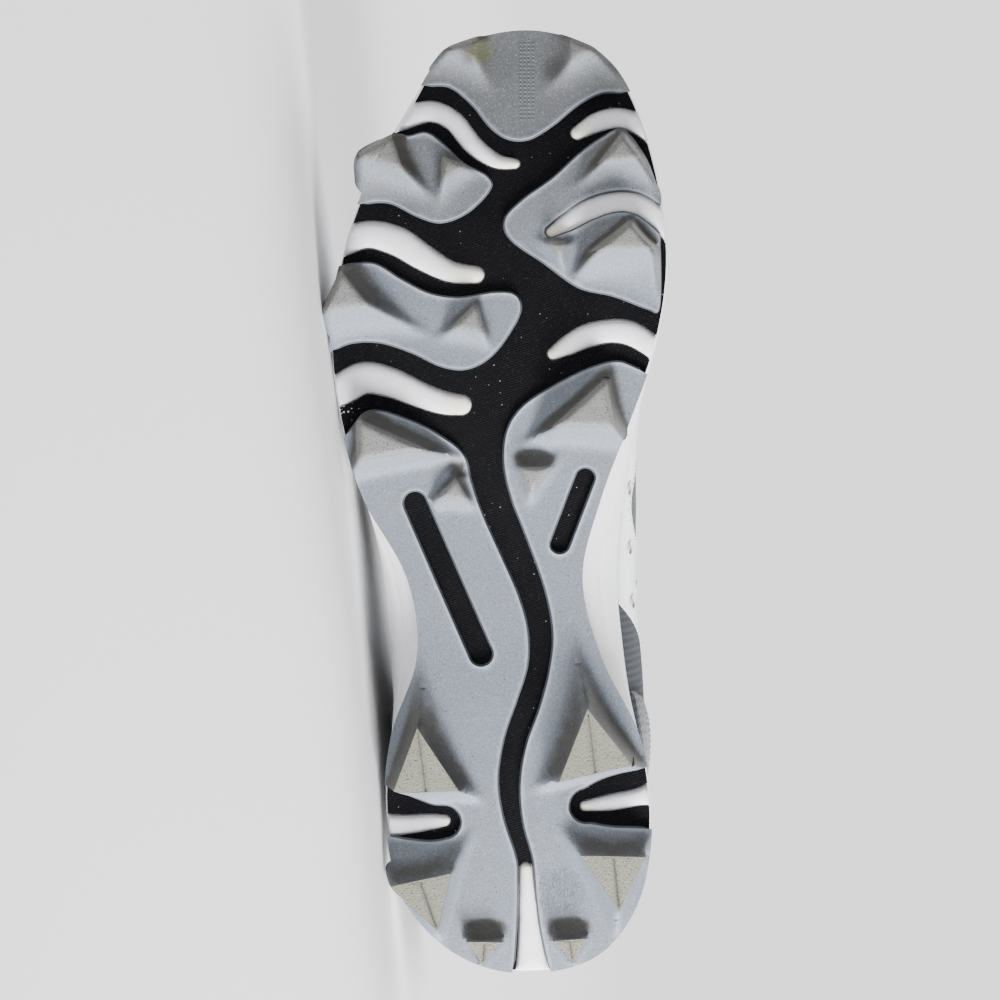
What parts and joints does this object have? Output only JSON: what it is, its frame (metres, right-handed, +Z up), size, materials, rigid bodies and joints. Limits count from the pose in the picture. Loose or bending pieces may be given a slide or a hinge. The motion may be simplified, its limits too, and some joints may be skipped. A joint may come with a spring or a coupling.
{
  "type": "baseball cleat",
  "caption": "Low-cut moulded baseball cleat for the right foot, lying on its lateral side: hollow upper, foam midsole and clawed rubber outsole pods.",
  "frame": {"origin": "middle of the lying shoe's box, at the floor", "axes": "+X from heel to toe, +Z up; the sole faces +Y and the medial side faces up"},
  "size_m": [0.2996, 0.1386, 0.1097],
  "materials": {
    "black_plate": "satin, cloth grained",
    "black_synthetic": "satin",
    "black_textile": "matt knit",
    "grey_rubber": "matt moulded rubber",
    "grey_synthetic": "satin, fine weave",
    "white_foam": "matt, fine grain",
    "white_lace": "matt woven",
    "white_leather": "smooth, low gloss"
  },
  "bodies": {
    "root": {"eyestay": "black_synthetic", "heel_counter": "grey_synthetic", "insole": "black_textile", "lace_bar": "white_lace", "lace_cross_1": "white_lace", "lace_cross_2": "white_lace", "lace_cross_3": "white_lace", "lace_cross_4": "white_lace", "lace_cross_5": "white_lace", "midsole": "white_foam", "outsole_lateral_front": "grey_rubber", "outsole_lateral_mid": "grey_rubber", "outsole_lateral_rear": "grey_rubber", "outsole_medial_front": "grey_rubber", "outsole_medial_rear": "grey_rubber", "outsole_toe": "grey_rubber", "outsole_web": "black_plate", "toe_guard": "grey_synthetic", "tongue": "black_textile", "upper": "white_leather"}
  },
  "joints": []
}
